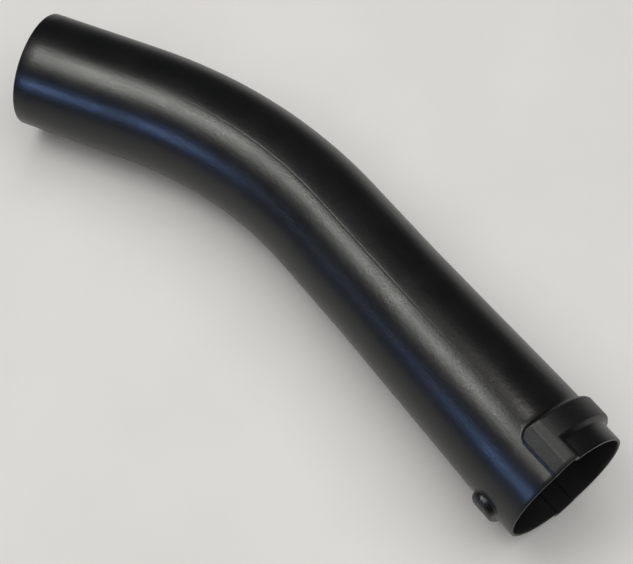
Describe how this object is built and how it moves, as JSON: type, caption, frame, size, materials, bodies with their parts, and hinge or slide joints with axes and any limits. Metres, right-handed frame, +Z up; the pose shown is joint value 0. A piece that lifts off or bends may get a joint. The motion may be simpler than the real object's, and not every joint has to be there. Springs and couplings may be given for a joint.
{
  "type": "leaf blower nozzle tube",
  "caption": "Bent black plastic tube that carries a leaf blower's air to the ground, with a twist-lock socket of raised L-shaped channels at one end and a plain cut outlet.",
  "frame": {"origin": "middle of the tube's box, on the ground it lies on", "axes": "+Z up; +X along the socket, from the mouth to the outlet; the bend turns towards +Y"},
  "size_m": [0.4265, 0.1478, 0.0847],
  "materials": {
    "black_plastic": "semi-gloss, blow-moulded"
  },
  "bodies": {
    "root": {"nozzle_tube": "black_plastic"}
  },
  "joints": []
}
